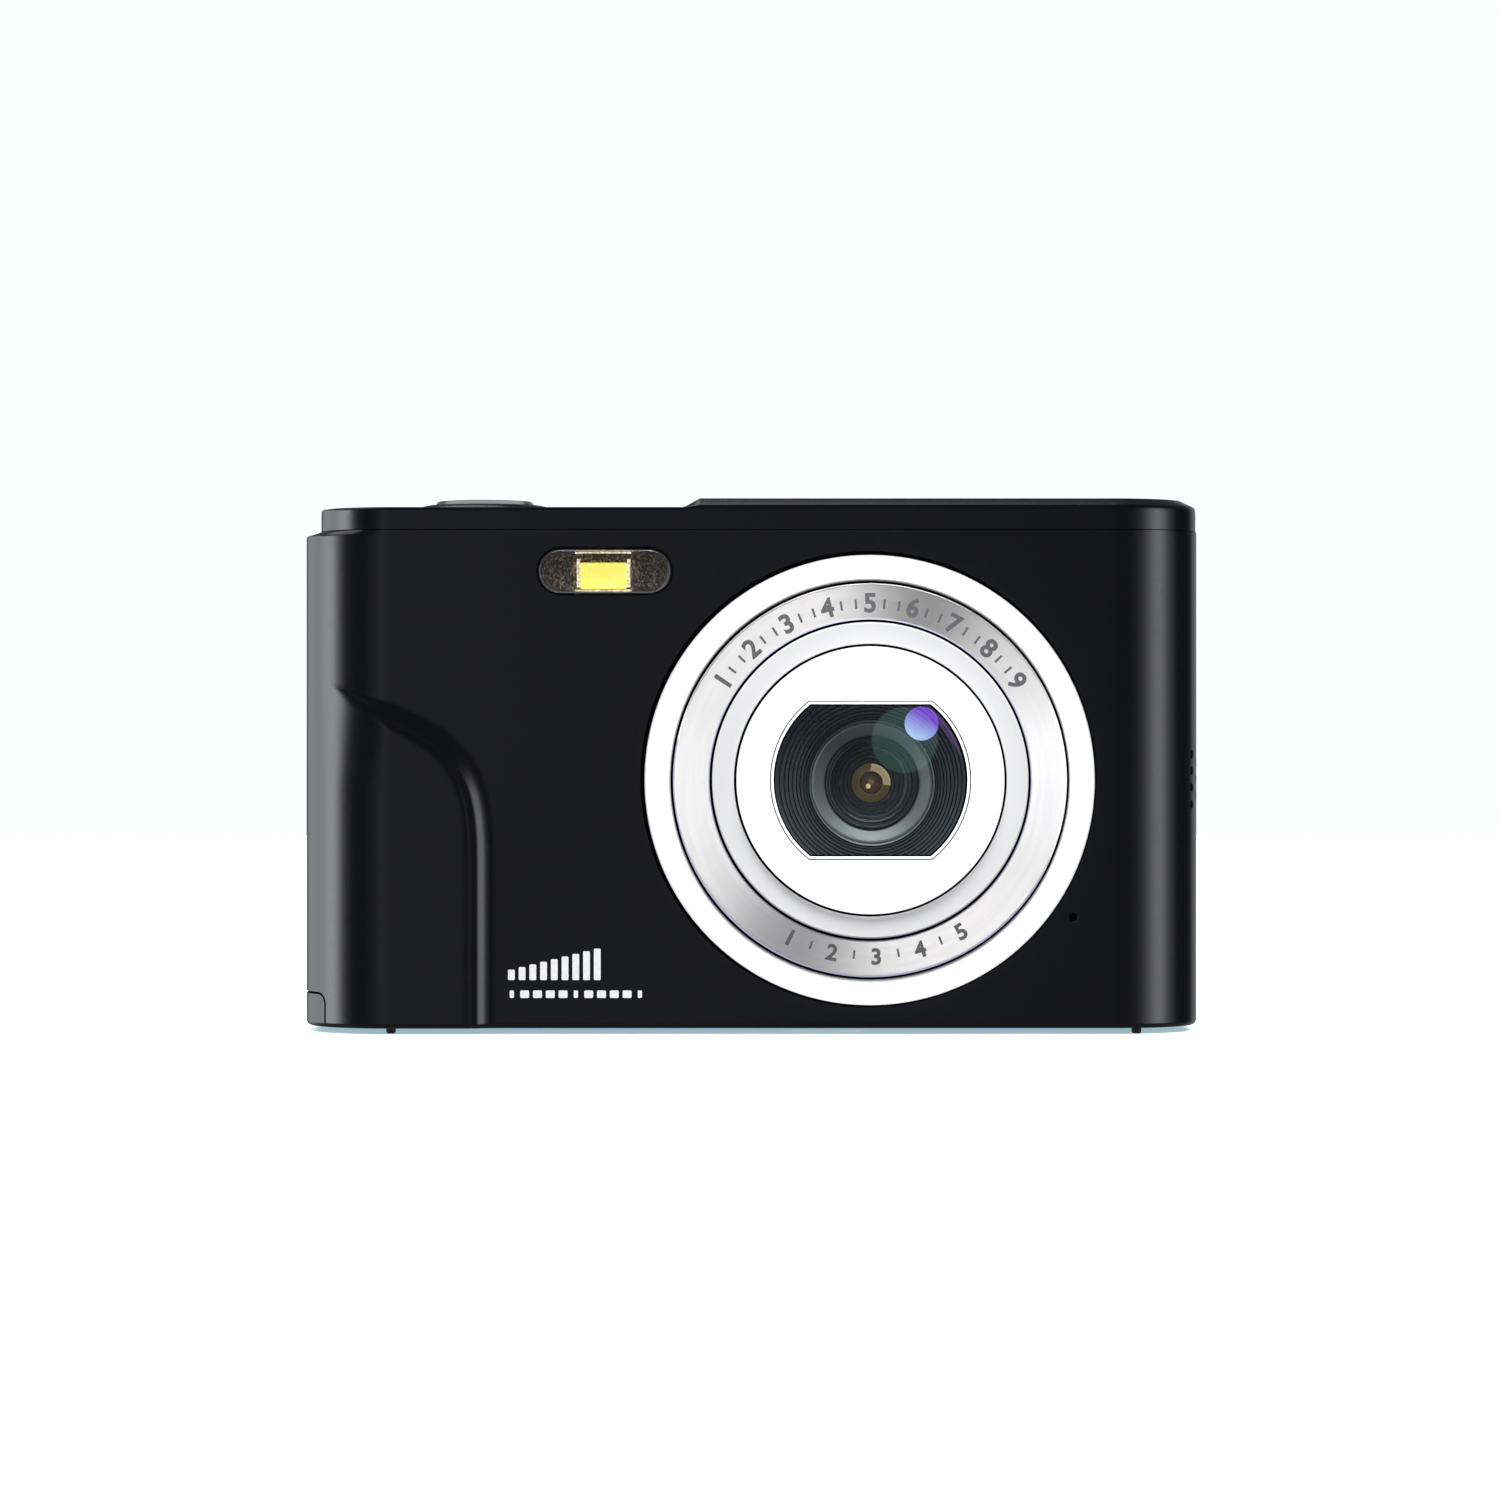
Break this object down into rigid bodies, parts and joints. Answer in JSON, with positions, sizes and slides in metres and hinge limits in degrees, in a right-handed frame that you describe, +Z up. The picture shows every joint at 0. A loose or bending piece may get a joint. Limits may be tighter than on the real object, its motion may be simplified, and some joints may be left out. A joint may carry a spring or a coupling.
{
  "type": "compact digital camera",
  "caption": "Pocket digital camera with a stepped silver lens ring, raised hand grip, flash window, shutter button, rear screen and keys, and a battery door that slides and swings.",
  "frame": {"origin": "on the surface the feet stand on, midway between the two ends and between the lens front and the rear keys", "axes": "+Z up, the lens looks along -Y, +X to the right seen from the front"},
  "size_m": [0.096, 0.027, 0.0573],
  "materials": {
    "body_black": "satin black, moulded",
    "inner_black": "matte black, moulded",
    "lens_black": "matte black, anti-reflection",
    "silver": "polished silver",
    "brushed": "brushed in circles",
    "pale_grey": "satin pale grey",
    "glass": "clear, coated",
    "screen": "gloss black",
    "circuit": "solder mask",
    "steel": "plated",
    "brass": "plain",
    "rubber": "matte",
    "battery_wrap": "printed wrap without lettering",
    "led": "phosphor coat",
    "key_grey": "satin grey"
  },
  "bodies": {
    "camera_body": {"front_shell": "body_black", "rear_shell": "body_black", "top_cover": "body_black", "shutter_collar": "body_black", "lens_holder": "inner_black", "aperture_stop": "inner_black", "lcd_panel": "inner_black", "battery_tray": "inner_black", "speaker": "inner_black", "shutter_switch": "inner_black", "power_switch": "inner_black", "lens_baffle": "lens_black", "lens_barrel": "lens_black", "lens_bezel_ring": "silver", "lens_face_plate": "silver", "flash_reflector": "silver", "lens_scale_ring": "brushed", "lens_step_ring": "pale_grey", "lens_window": "glass", "front_lens": "glass", "rear_lens": "glass", "image_sensor": "glass", "flash_window": "glass", "lcd_window": "screen", "main_board": "circuit", "key_board": "circuit", "lcd_frame": "steel", "card_slot": "steel", "usb_port": "steel", "microphone": "steel", "strap_bar": "steel", "screw_end_left": "steel", "screw_end_right": "steel", "screw_bottom_left": "steel", "screw_bottom_right": "steel", "battery_contacts": "brass", "tripod_insert": "brass", "key_mat": "rubber", "foot_front_left": "rubber", "foot_front_right": "rubber", "foot_rear_left": "rubber", "foot_rear_right": "rubber", "battery": "battery_wrap", "flash_led": "led", "lens_retainer": "key_grey"},
    "shutter_button": {"shutter_button": "silver"},
    "power_button": {"power_button": "silver"},
    "zoom_rocker": {"zoom_rocker": "key_grey"},
    "mode_key": {"mode_key": "key_grey"},
    "play_key": {"play_key": "key_grey"},
    "menu_key": {"menu_key": "key_grey"},
    "delete_key": {"delete_key": "key_grey"},
    "up_key": {"up_key": "key_grey"},
    "left_key": {"left_key": "key_grey"},
    "down_key": {"down_key": "key_grey"},
    "right_key": {"right_key": "key_grey"},
    "ok_key": {"ok_key": "key_grey"},
    "door_slide": {"door_slider": "inner_black", "door_hinge_pin": "steel"},
    "door": {"battery_door": "body_black"}
  },
  "joints": [
    {"name": "shutter_press", "type": "slide", "parent": "camera_body", "child": "shutter_button", "axis": [0, 0, -1], "range_m": [0, 0.0005], "stiffness_N_per_m": 1500, "springref_m": -0.0003},
    {"name": "power_press", "type": "slide", "parent": "camera_body", "child": "power_button", "axis": [0, 0, -1], "range_m": [0, 0.0004], "stiffness_N_per_m": 1500, "springref_m": -0.0003},
    {"name": "zoom_rock", "type": "hinge", "parent": "camera_body", "child": "zoom_rocker", "pos_m": [-0.033, 0.0109, 0.0455], "axis": [0, 0, 1], "range_deg": [-2.5, 2.5], "stiffness_Nm_per_rad": 0.6},
    {"name": "mode_press", "type": "slide", "parent": "camera_body", "child": "mode_key", "axis": [0, -1, 0], "range_m": [0, 0.0003], "stiffness_N_per_m": 1500, "springref_m": -0.0003},
    {"name": "play_press", "type": "slide", "parent": "camera_body", "child": "play_key", "axis": [0, -1, 0], "range_m": [0, 0.0003], "stiffness_N_per_m": 1500, "springref_m": -0.0003},
    {"name": "menu_press", "type": "slide", "parent": "camera_body", "child": "menu_key", "axis": [0, -1, 0], "range_m": [0, 0.0003], "stiffness_N_per_m": 1500, "springref_m": -0.0003},
    {"name": "delete_press", "type": "slide", "parent": "camera_body", "child": "delete_key", "axis": [0, -1, 0], "range_m": [0, 0.0003], "stiffness_N_per_m": 1500, "springref_m": -0.0003},
    {"name": "up_press", "type": "slide", "parent": "camera_body", "child": "up_key", "axis": [0, -1, 0], "range_m": [0, 0.0003], "stiffness_N_per_m": 1500, "springref_m": -0.0003},
    {"name": "left_press", "type": "slide", "parent": "camera_body", "child": "left_key", "axis": [0, -1, 0], "range_m": [0, 0.0003], "stiffness_N_per_m": 1500, "springref_m": -0.0003},
    {"name": "down_press", "type": "slide", "parent": "camera_body", "child": "down_key", "axis": [0, -1, 0], "range_m": [0, 0.0003], "stiffness_N_per_m": 1500, "springref_m": -0.0003},
    {"name": "right_press", "type": "slide", "parent": "camera_body", "child": "right_key", "axis": [0, -1, 0], "range_m": [0, 0.0003], "stiffness_N_per_m": 1500, "springref_m": -0.0003},
    {"name": "ok_press", "type": "slide", "parent": "camera_body", "child": "ok_key", "axis": [0, -1, 0], "range_m": [0, 0.0003], "stiffness_N_per_m": 1500, "springref_m": -0.0003},
    {"name": "door_unlatch", "type": "slide", "parent": "camera_body", "child": "door_slide", "axis": [-1, 0, 0], "range_m": [0, 0.0016]},
    {"name": "door_swing", "type": "hinge", "parent": "door_slide", "child": "door", "pos_m": [-0.0074, 0.0029, 0.0019], "axis": [0, -1, 0], "range_deg": [0, 95]}
  ]
}
